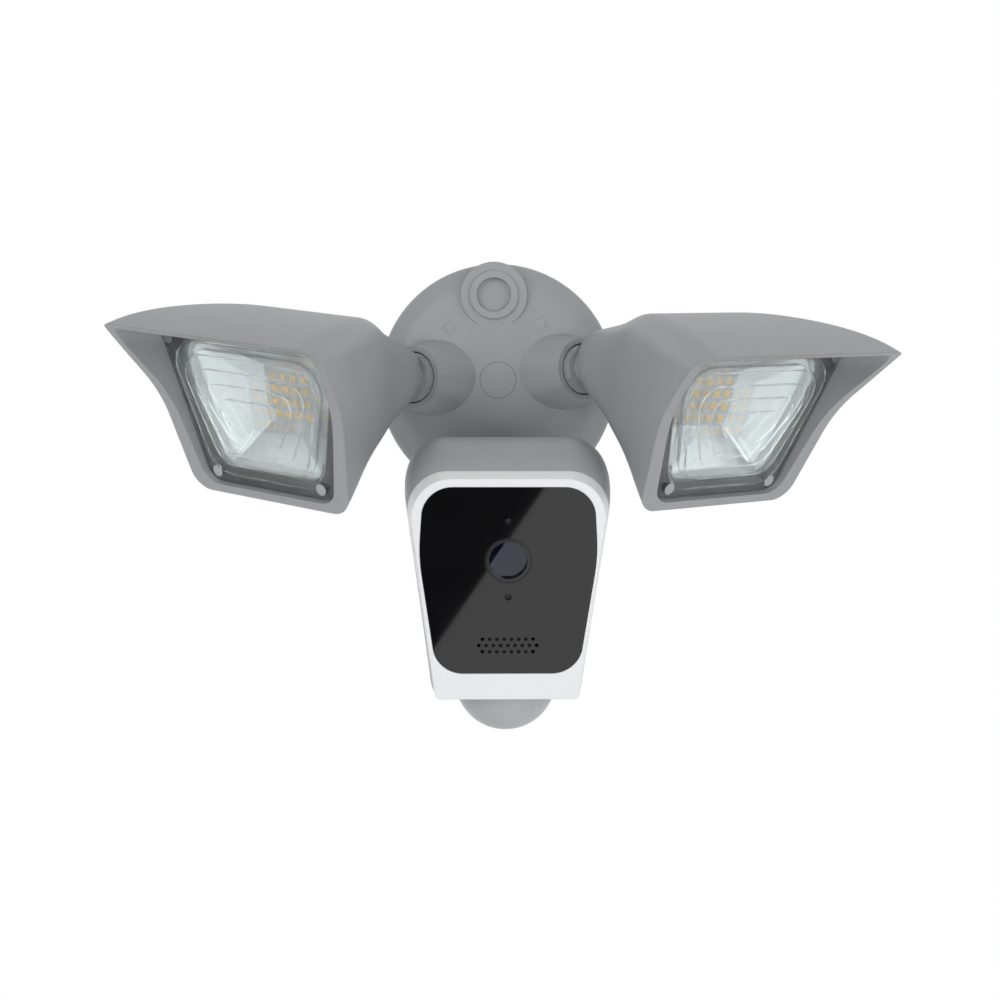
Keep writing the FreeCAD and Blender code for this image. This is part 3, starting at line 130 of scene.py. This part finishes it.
class Graph:
    """The node tree of a material or world, with the nodes that the finishes share."""

    def __init__(self, name: str, world: bpy.types.World | None = None) -> None:
        """Empty the world's tree, or start a new material of that name."""
        self.owner = world or bpy.data.materials.new(name)
        self.owner.use_nodes = True
        self.tree = self.owner.node_tree
        self.tree.nodes.clear()

    def node(self, kind: str, settings: dict, inputs: dict, output: int | str = 0) -> Shade:
        """Add a node, set it up and connect it.

        Args:
            kind: the node's type.
            settings: its properties, set first; "stops" gives a colour ramp's stops.
            inputs: values or links of its sockets, by name or number.
            output: the output that is wanted.

        Returns:
            The chosen output.
        """
        made = self.tree.nodes.new(kind)
        for key, setting in settings.items():
            if key == "stops":
                while len(made.color_ramp.elements) < len(setting):
                    made.color_ramp.elements.new(0.5)
                for element, (position, colour) in zip(made.color_ramp.elements, setting):
                    element.position = position
                    element.color = (*colour, 1.0)
            else:
                setattr(made, key, setting)
        for key, given in inputs.items():
            if isinstance(given, Shade):
                self.tree.links.new(given.socket, made.inputs[key])
            elif isinstance(given, tuple) and made.inputs[key].type == "RGBA":
                made.inputs[key].default_value = (*given, 1.0)
            else:
                made.inputs[key].default_value = given
        return Shade(self, made.outputs[output]) if made.outputs else Shade(self, None)

    def place(self) -> Shade:
        """Position on the piece, which moves with it."""
        return self.node("ShaderNodeTexCoord", {}, {}, "Object")

    def noise(self, size: float, detail: float = 3.0, stretch: Colour = (1, 1, 1)) -> Shade:
        """Noise between 0 and 1.

        Args:
            size: metres from one blotch to the next.
            detail: octaves of finer noise.
            stretch: scale along each axis.

        Returns:
            The noise value.
        """
        mapped = self.node("ShaderNodeMapping", {}, {"Vector": self.place(), "Scale": stretch})
        return self.node("ShaderNodeTexNoise", {},
                         {"Vector": mapped, "Scale": 1 / size, "Detail": detail}, "Fac")

    def cells(self, size: float, bonding: Bonding) -> Shade:
        """Distance to cells that are so many metres across."""
        return self.node("ShaderNodeTexVoronoi", {"feature": bonding.value},
                         {"Vector": self.place(), "Scale": 1 / size}, "Distance")

    def blend(self, mask: Shade | float, first: Colour | Shade, second: Colour | Shade) -> Shade:
        """Mix two colours by a mask."""
        return self.node("ShaderNodeMix", {"data_type": "RGBA"}, {0: mask, 6: first, 7: second}, 2)

    def steps(self, source: Shade, stops: list[tuple[float, Colour]]) -> Shade:
        """Turn a value into colours through a ramp."""
        return self.node("ShaderNodeValToRGB", {"stops": stops}, {"Fac": source})

    def relief(self, height: Shade, depth: float, soft_edge: float = 0.0004) -> Shade:
        """Bumped normal over softened edges.

        Args:
            height: relief between 0 and 1.
            depth: metres from its lowest to its highest point.
            soft_edge: radius in metres at which hard edges catch the light.

        Returns:
            The normal.
        """
        edge = self.node("ShaderNodeBevel", {"samples": 4}, {"Radius": soft_edge})
        return self.node("ShaderNodeBump", {},
                         {"Strength": 1.0, "Distance": depth, "Height": height, "Normal": edge})

    def finish(self, inputs: dict) -> bpy.types.Material:
        """Close the graph with one Principled shader.

        Args:
            inputs: values or links of its sockets.

        Returns:
            The finished material.
        """
        surface = self.node("ShaderNodeBsdfPrincipled", {}, inputs)
        self.node("ShaderNodeOutputMaterial", {}, {"Surface": surface})
        return self.owner


# Finishes


def tinted(colour: Colour, factor: float) -> Colour:
    """The colour made lighter or darker by a factor."""
    return tuple(min(1.0, part * factor) for part in colour)


@dataclass(frozen=True)
class MouldedPlastic:
    """Moulded plastic with a fine spark-eroded grain and faint flow clouds and streaks."""

    name: str
    colour: Colour
    roughness: float = 0.42
    grain: float = 0.00055
    grain_depth: float = 0.00003
    coat: float = 0.0
    cloudiness: float = 0.05
    cloud_size: float = 0.03
    cloud_share: float = 0.65
    streak_size: float = 0.012
    streak_stretch: Colour = (1, 1, 0.25)

    def material(self) -> bpy.types.Material:
        """Build the plastic."""
        graph = Graph(self.name)
        cloud = graph.noise(self.cloud_size, 4.0)
        streak = graph.noise(self.streak_size, 2.0, self.streak_stretch)
        grain = graph.noise(self.grain, 2.0)
        mix = cloud * self.cloud_share + streak * (1 - self.cloud_share)
        base = graph.blend(mix, tinted(self.colour, 1 - self.cloudiness),
                           tinted(self.colour, 1 + self.cloudiness))
        rough = self.roughness - 0.05 + cloud * 0.06 + grain * 0.05
        return graph.finish({
            "Base Color": base, "Roughness": rough, "Coat Weight": self.coat,
            "Coat Roughness": 0.12, "IOR": 1.5,
            "Normal": graph.relief(grain, self.grain_depth)})


@dataclass(frozen=True)
class GlossFace:
    """Hard-coated black acrylic with a faint haze and hairlines."""

    name: str
    colour: Colour = (0.0035, 0.0035, 0.004)

    def material(self) -> bpy.types.Material:
        """Build the gloss face."""
        graph = Graph(self.name)
        haze = graph.noise(0.02, 5.0)
        hairline = graph.noise(0.0012, 1.0, (0.08, 1, 1))
        base = graph.blend(haze, self.colour, tinted(self.colour, 1.8))
        return graph.finish({
            "Base Color": base, "Roughness": 0.035 + haze * 0.03, "IOR": 1.49,
            "Coat Weight": 0.35, "Coat Roughness": 0.02,
            "Normal": graph.relief(hairline, 0.0000006, 0.0003)})


@dataclass(frozen=True)
class ClearCover:
    """Clear polycarbonate with a cool tint, faint moulding ripples and specks of dust."""

    name: str
    tint: Colour = (0.86, 0.94, 0.95)
    opacity: float = 0.62
    ripple_size: float = 0.006
    dust_size: float = 0.0009
    dust_rarity: float = 6.0
    dust_colour: Colour = (0.9, 0.92, 0.92)

    def material(self) -> bpy.types.Material:
        """Build the clear plastic."""
        graph = Graph(self.name)
        ripple = graph.noise(self.ripple_size, 2.0)
        dust = graph.noise(self.dust_size, 1.0) ** self.dust_rarity
        base = graph.blend(dust, self.tint, self.dust_colour)
        return graph.finish({
            "Base Color": base, "Roughness": 0.03 + dust * 0.4, "IOR": 1.45,
            "Transmission Weight": 1.0, "Alpha": self.opacity,
            "Normal": graph.relief(ripple, 0.00001, 0.0005)})


@dataclass(frozen=True)
class Glass:
    """Coated optical glass."""

    name: str
    tint: Colour = (0.1, 0.12, 0.2)

    def material(self) -> bpy.types.Material:
        """Build the glass."""
        graph = Graph(self.name)
        film = graph.noise(0.004, 2.0)
        base = graph.blend(film, self.tint, tinted(self.tint, 1.12))
        return graph.finish({
            "Base Color": base, "Roughness": 0.01 + film * 0.01, "IOR": 1.52,
            "Transmission Weight": 1.0, "Coat Weight": 0.6, "Coat Roughness": 0.01,
            "Coat Tint": (0.6, 0.7, 1.0)})


@dataclass(frozen=True)
class Metal:
    """Metal with a brushed or cast grain and blotches of tarnish."""

    name: str
    colour: Colour
    roughness: float
    grain: float = 0.0006
    grain_depth: float = 0.00002
    brushed: Colour = (1, 1, 1)

    def material(self) -> bpy.types.Material:
        """Build the metal."""
        graph = Graph(self.name)
        tarnish = graph.noise(0.008, 4.0)
        grain = graph.noise(self.grain, 3.0, self.brushed)
        base = graph.blend(tarnish, tinted(self.colour, 0.9), tinted(self.colour, 1.06))
        return graph.finish({
            "Base Color": base, "Metallic": 1.0,
            "Roughness": self.roughness - 0.04 + tarnish * 0.08 + grain * 0.06,
            "Normal": graph.relief(grain, self.grain_depth, 0.0003)})


@dataclass(frozen=True)
class CircuitBoard:
    """Solder mask over copper runs, with bare tinned pads."""

    name: str
    mask: Colour
    run: Colour
    pad: Colour = (0.72, 0.7, 0.62)

    def material(self) -> bpy.types.Material:
        """Build the board."""
        graph = Graph(self.name)
        runs = graph.node("ShaderNodeTexBrick", {"offset": 0.5}, {
            "Vector": graph.place(), "Scale": 1 / 0.012, "Mortar Size": 0.08,
            "Color1": (0, 0, 0), "Color2": (0, 0, 0), "Mortar": (1, 1, 1)}, "Fac")
        dots = graph.cells(0.0032, Bonding.CELLS)
        pads = graph.steps(dots, [(0.0, (1, 1, 1)), (0.17, (1, 1, 1)), (0.2, (0, 0, 0))])
        copper = graph.blend(runs, self.mask, self.run)
        base = graph.blend(pads, copper, self.pad)
        return graph.finish({
            "Base Color": base, "Roughness": 0.38, "IOR": 1.5, "Coat Weight": 0.3,
            "Normal": graph.relief(runs, 0.00003, 0.0002)})


@dataclass(frozen=True)
class Phosphor:
    """Silicone over yellow phosphor, paler where it is thin, with a faint painted glow."""

    name: str
    deep: Colour = (0.86, 0.42, 0.02)
    pale: Colour = (0.98, 0.68, 0.12)

    def material(self) -> bpy.types.Material:
        """Build the phosphor."""
        graph = Graph(self.name)
        speck = graph.noise(0.0007, 3.0)
        base = graph.blend(speck, self.deep, self.pale)
        return graph.finish({
            "Base Color": base, "Roughness": 0.22 + speck * 0.1, "Coat Weight": 0.5,
            # painted glow: the unlit phosphor gives off a faint light in its own colour
            "Emission Color": base, "Emission Strength": 0.16,
            "Normal": graph.relief(speck, 0.00002, 0.0002)})


@dataclass(frozen=True)
class SegmentedDome:
    """Milky dome plastic with the faint facets of its segmented lens behind the skin."""

    name: str
    colour: Colour = (0.43, 0.44, 0.45)

    def material(self) -> bpy.types.Material:
        """Build the dome plastic."""
        graph = Graph(self.name)
        seams = graph.steps(graph.cells(0.0062, Bonding.EDGES),
                            [(0.0, (0, 0, 0)), (0.05, (0.6, 0.6, 0.6)), (0.12, (1, 1, 1))])
        cloud = graph.noise(0.01, 3.0)
        base = graph.blend(cloud, tinted(self.colour, 0.95), tinted(self.colour, 1.05))
        return graph.finish({
            "Base Color": base, "Roughness": 0.3 + cloud * 0.08, "IOR": 1.5,
            "Subsurface Weight": 0.12, "Subsurface Radius": (0.002, 0.002, 0.002),
            "Normal": graph.relief(seams, 0.00006, 0.0003)})


class Palette:
    """The object's finishes, each under the name of its slot in the record."""

    def __init__(self) -> None:
        """Build every finish once."""
        finishes = [
            # painted shade: the canopy and shells are the same white plastic as the bezel,
            # darkened to the grey that the lighting leaves on them
            MouldedPlastic("canopy_grey", (0.34, 0.35, 0.36)),
            MouldedPlastic("shell_grey", (0.33, 0.34, 0.355)),
            MouldedPlastic("bezel_white", (0.78, 0.79, 0.8), roughness=0.34, grain_depth=0.00001,
                           coat=0.15, cloudiness=0.02),
            GlossFace("face_black"),
            MouldedPlastic("lens_black", (0.006, 0.006, 0.007), roughness=0.22,
                           grain_depth=0.000008, coat=0.4),
            Glass("lens_glass"),
            ClearCover("clear_cover"),
            MouldedPlastic("seal_rubber", (0.018, 0.018, 0.019), roughness=0.62, grain=0.0009),
            Metal("reflector_silver", (0.86, 0.87, 0.88), 0.2, grain=0.004,
                  grain_depth=0.00002),
            Metal("heat_sink_aluminium", (0.62, 0.63, 0.64), 0.42, brushed=(0.1, 1, 1)),
            Phosphor("led_phosphor"),
            Metal("zinc_steel", (0.4, 0.405, 0.41), 0.34, grain=0.0004, brushed=(0.3, 1, 1)),
            CircuitBoard("circuit_green", (0.012, 0.11, 0.045), (0.02, 0.18, 0.07)),
            MouldedPlastic("component_black", (0.02, 0.02, 0.022), roughness=0.5, grain=0.0003),
            SegmentedDome("dome_plastic"),
        ]
        self.made = {finish.name: finish.material() for finish in finishes}
        self.made["lens_seal"] = MouldedPlastic("lens_seal", (0.2, 0.205, 0.21), roughness=0.5,
                                                grain=0.0009).material()
        self.ceramic = MouldedPlastic("led_ceramic", (0.8, 0.79, 0.74), roughness=0.4,
                                      grain=0.0003).material()

    def dress(self, piece: bpy.types.Object, slot: str) -> None:
        """Give a piece one finish all over.

        Args:
            piece: a CAD node or a new piece.
            slot: the finish's slot name.
        """
        piece.data.materials.clear()
        piece.data.materials.append(self.made[slot])


def slots_of_nodes() -> dict[str, str]:
    """The slot that each CAD node takes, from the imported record.

    Returns:
        Slot name by node name.
    """
    return {row["node"]: row["material_slot"] for row in frame["record"]["subparts"]}


# Meshes


def new_piece(name: str, mesh: bmesh.types.BMesh, body: str, slot: str,
              palette: Palette) -> bpy.types.Object:
    """Turn a bmesh into a smooth piece that rides on a body.

    Args:
        name: the piece's name.
        mesh: its mesh, which is used up.
        body: the CAD body that carries it.
        slot: the record's slot that it takes its finish from.
        palette: the finishes.

    Returns:
        The piece.
    """
    data = bpy.data.meshes.new(name)
    bmesh.ops.recalc_face_normals(mesh, faces=mesh.faces)
    mesh.to_mesh(data)
    mesh.free()
    piece = bpy.data.objects.new(name, data)
    bpy.context.scene.collection.objects.link(piece)
    data.shade_smooth()
    palette.dress(piece, slot)
    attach(piece, body)
    LOG.info("%s rides on %s", name, body)
    return piece


def add_turned(mesh: bmesh.types.BMesh, profile: list[tuple[float, float]], place: Matrix,
               steps: int = 96) -> None:
    """Add a turned shape to a mesh.

    Args:
        mesh: the mesh that it is added to.
        profile: radius and height of each point along a closed outline, in millimetres.
        place: where the turning axis, local Z, stands.
        steps: divisions round the axis.
    """
    rings = []
    for step in range(steps):
        angle = 2 * math.pi * step / steps
        rings.append([mesh.verts.new(place @ (Vector((
            radius * math.cos(angle), radius * math.sin(angle), height)) * MM))
            for radius, height in profile])
    for here, there in zip(rings, rings[1:] + rings[:1]):
        for low in range(len(profile)):
            high = (low + 1) % len(profile)
            mesh.faces.new((here[low], here[high], there[high], there[low]))


def frame_at(origin: Colour, across: Colour, up: Colour) -> Matrix:
    """Placement from an origin in millimetres and two axes."""
    first, second = Vector(across).normalized(), Vector(up).normalized()
    third = first.cross(second)
    turn = Matrix((first, second, third)).transposed()
    return Matrix.Translation(Vector(origin) * MM) @ turn.to_4x4()


@dataclass
class CadFinishes:
    """The CAD nodes, each given the finish of its slot, and the lens gaskets a paler seal."""

    palette: Palette

    def dress(self) -> None:
        """Dress every CAD node."""
        slots = slots_of_nodes()
        for name, piece in frame["nodes"].items():
            slot = "lens_seal" if name.endswith("_lens_gasket") else slots[name]
            self.palette.dress(piece, slot)
            LOG.info("%s takes %s", name, slot)


@dataclass
class Lamp:
    """A lamp's light engine: sixteen packages, each a ceramic body with a phosphor window."""

    side: Side
    palette: Palette
    origin: Colour
    across: Colour
    up: Colour
    pitch: float = 5.7
    count: int = 4
    body_foot: float = 2.5625
    body_brow: float = 2.46
    body_height: float = 0.7
    body_shoulder: float = 0.56
    window_radius: float = 1.55
    window_foot: float = 1.736
    window_brow: float = 1.085
    window_height: float = 0.95
    window_crown: float = 1.07
    board_level: float = -22.2
    lift: float = 0.02
    seat: float = 0.1

    def centres(self) -> list[tuple[float, float]]:
        """Centre of each package on the board."""
        first = -(self.count - 1) / 2 * self.pitch
        return [(first + self.pitch * column, first + self.pitch * row)
                for column in range(self.count) for row in range(self.count)]

    def build(self) -> None:
        """Build the packages in place of the plain CAD array."""
        place = frame_at(self.origin, self.across, self.up)
        bodies, windows = bmesh.new(), bmesh.new()
        for across, up in self.centres():
            here = place @ Matrix.Translation(Vector((across, up, self.board_level)) * MM)
            add_turned(bodies, [
                (self.window_radius, self.seat), (self.body_foot, self.lift),
                (self.body_foot, self.body_shoulder), (self.body_brow, self.body_height),
                (self.window_radius, self.body_height)],
                here @ Matrix.Rotation(math.pi / 4, 4, "Z"), steps=4)
            add_turned(windows, [
                (AXIS_RADIUS, self.seat), (self.window_foot, self.seat),
                (self.window_foot, self.body_height), (self.window_brow, self.window_height),
                (AXIS_RADIUS, self.window_crown)], here, steps=20)
        name = self.side.value
        body = f"{name}_lamp"
        frames = new_piece(f"{name}_led_bodies", bodies, body, "led_phosphor", self.palette)
        frames.data.materials.clear()
        frames.data.materials.append(self.palette.ceramic)
        frames.data.shade_flat()
        lights = new_piece(f"{name}_led_windows", windows, body, "led_phosphor", self.palette)
        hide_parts(f"{name}_led_array")


@dataclass
class CameraEye:
    """The camera's lens stack: a stepped throat behind the glass, and an inner element."""

    palette: Palette
    origin: Colour
    across: Colour
    up: Colour

    throat_radius: float = 6.7
    throat_front: float = -4.6
    throat_back: float = -9.0
    first_bore: float = 6.1
    bore_step: float = 0.6
    ledge_depth: float = 0.8
    ledges: int = 4
    element_radius: float = 4.2
    element_middle: float = -9.2
    element_crown: float = 1.6
    element_back: float = -9.6
    element_turns: tuple[float, ...] = (0.4, 0.8, 1.2, 1.5)

    def throat_outline(self) -> list[tuple[float, float]]:
        """Radius and level of the stepped throat."""
        outline = [(self.throat_radius, self.throat_front)]
        for ledge in range(self.ledges):
            bore = self.first_bore - self.bore_step * ledge
            front = self.throat_front - self.ledge_depth * ledge
            last = ledge == self.ledges - 1
            back = self.throat_back if last else front - self.ledge_depth
            outline += [(bore, front), (bore, back)]
        return outline + [(self.throat_radius, self.throat_back)]

    def element_outline(self) -> list[tuple[float, float]]:
        """Radius and level of the domed element."""
        crown = [(self.element_radius * math.sin(turn),
                  self.element_middle + self.element_crown * math.cos(turn))
                 for turn in self.element_turns]
        tip = (AXIS_RADIUS, self.element_middle + self.element_crown)
        return [tip, *crown, (AXIS_RADIUS, self.element_back)]

    def build(self) -> None:
        """Build the throat and the domed middle element."""
        place = frame_at(self.origin, self.across, self.up)
        throat, element = bmesh.new(), bmesh.new()
        add_turned(throat, self.throat_outline(), place)
        new_piece("lens_throat", throat, "camera_head", "lens_black", self.palette)
        add_turned(element, self.element_outline(), place)
        new_piece("lens_element", element, "camera_head", "lens_glass", self.palette)


# Studio


@dataclass
class Studio:
    """Camera, soft lights, pale floor and backdrop."""

    azimuth: float = 1.23
    roll: float = 2.81
    eye: Colour = (0.00144, -0.9, -0.056)
    focal: float = 67.39
    floor_level: float = -0.62
    wall_distance: float = 0.9
    reach: float = 6.0
    sky_level: float = 0.46
    flag_distance: float = 300.0
    flag_corners: tuple[tuple[float, float], ...] = (
        (46.0, -22.0), (-56.0, -178.0), (-170.0, -178.0), (-170.0, 60.0), (46.0, 60.0))

    def turn(self) -> Matrix:
        """Turn from the object's frame to the camera's."""
        return (Matrix.Rotation(-math.radians(self.roll), 3, "Y")
                @ Matrix.Rotation(math.radians(self.azimuth), 3, "Z"))

    def build_camera(self) -> None:
        """Place the camera."""
        data = bpy.data.cameras.new("camera")
        data.lens, data.sensor_width = self.focal, 36.0
        data.clip_start, data.clip_end = 0.01, 50.0
        camera = bpy.data.objects.new("camera", data)
        back = self.turn().transposed()
        facing = back @ Matrix(((1, 0, 0), (0, 0, -1), (0, 1, 0)))
        camera.matrix_world = Matrix.Translation(back @ Vector(self.eye)) @ facing.to_4x4()
        bpy.context.scene.collection.objects.link(camera)
        bpy.context.scene.camera = camera

    def white_material(self, name: str, shown: float) -> bpy.types.Material:
        """White that the camera, glass and metal see as the background.

        Args:
            name: the material's name.
            shown: how much of that white replaces the lit surface.

        Returns:
            The material.
        """
        graph = Graph(name)
        camera, glossy, through = (
            graph.node("ShaderNodeLightPath", {}, {}, f"Is {ray} Ray")
            for ray in ("Camera", "Glossy", "Transmission"))
        seen = camera + glossy + through
        lit = graph.node("ShaderNodeBsdfDiffuse", {}, {"Color": (0.8, 0.8, 0.8)})
        glow = graph.node("ShaderNodeEmission", {}, {"Color": (1.0, 1.0, 1.0), "Strength": 1.0})
        mixed = graph.node("ShaderNodeMixShader", {}, {0: seen * shown, 1: lit, 2: glow})
        graph.node("ShaderNodeOutputMaterial", {}, {"Surface": mixed})
        return graph.owner

    def plane(self, name: str, corners: list[Vector],
              material: bpy.types.Material) -> bpy.types.Object:
        """A flat stage piece.

        Args:
            name: its name.
            corners: its corners in order.
            material: its finish.

        Returns:
            The piece.
        """
        data = bpy.data.meshes.new(name)
        data.from_pydata(corners, [], [list(range(len(corners)))])
        data.materials.append(material)
        piece = bpy.data.objects.new(name, data)
        bpy.context.scene.collection.objects.link(piece)
        return piece

    def build_stage(self) -> None:
        """Place the floor and the backdrop."""
        far, low = self.reach, self.floor_level
        self.plane("floor", [Vector(point) for point in (
            (-far, -far, low), (far, -far, low), (far, far, low), (-far, far, low))],
            self.white_material("floor_white", 0.9))
        wall = self.wall_distance
        self.plane("backdrop", [Vector(point) for point in (
            (-far, wall, low), (far, wall, low), (far, wall, far), (-far, wall, far))],
            self.white_material("backdrop_white", 1.0))

    def build_flag(self) -> None:
        """Hang the dark card whose slanted edge shows in the gloss face, and nowhere else."""
        place = frame_at(*FACE_FRAME)
        corners = [place @ (Vector((across, up, self.flag_distance)) * MM)
                   for across, up in self.flag_corners]
        graph = Graph("flag_black")
        felt = graph.node("ShaderNodeBsdfDiffuse", {}, {"Color": (0.002, 0.002, 0.002)})
        graph.node("ShaderNodeOutputMaterial", {}, {"Surface": felt})
        flag = self.plane("flag", corners, graph.owner)
        flag.visible_camera = flag.visible_diffuse = False
        flag.visible_shadow = flag.visible_transmission = False

    def light(self, name: str, where: Colour, size: float, power: float) -> None:
        """A square soft light that looks at the object.

        Args:
            name: its name.
            where: its place.
            size: metres along a side.
            power: watts.
        """
        data = bpy.data.lights.new(name, "AREA")
        data.size, data.energy = size, power
        lamp = bpy.data.objects.new(name, data)
        lamp.location = where
        aim = Vector((0, -0.08, 0)) - Vector(where)
        lamp.rotation_euler = aim.to_track_quat("-Z", "Y").to_euler()
        bpy.context.scene.collection.objects.link(lamp)

    def build_lights(self) -> None:
        """Place the lights and set the world."""
        self.light("key", (-1.3, -1.6, 0.7), 1.2, 13.0)
        self.light("fill", (1.5, -1.4, 0.0), 1.4, 12.0)
        self.light("low", (0.0, -1.3, -0.5), 0.8, 5.0)
        world = bpy.data.worlds.new("world")
        graph = Graph("world", world)
        seen = graph.node("ShaderNodeLightPath", {}, {}, "Is Camera Ray")
        sky = graph.node("ShaderNodeBackground", {}, {
            "Color": (1.0, 1.0, 1.0), "Strength": seen * (1 - self.sky_level) + self.sky_level})
        graph.node("ShaderNodeOutputWorld", {}, {"Surface": sky})
        bpy.context.scene.world = world

    def build(self) -> None:
        """Build the whole studio."""
        self.build_camera()
        self.build_stage()
        self.build_flag()
        self.build_lights()
        bpy.context.scene.view_settings.view_transform = "Standard"


def main() -> None:
    logging.basicConfig(level=logging.INFO, format="%(name)s: %(message)s")
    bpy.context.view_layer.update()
    palette = Palette()
    CadFinishes(palette).dress()
    Lamp(Side.LEFT, palette, *LEFT_FRAME).build()
    Lamp(Side.RIGHT, palette, *RIGHT_FRAME).build()
    CameraEye(palette, *FACE_FRAME).build()
    Studio().build()


if __name__ == "__main__":
    main()
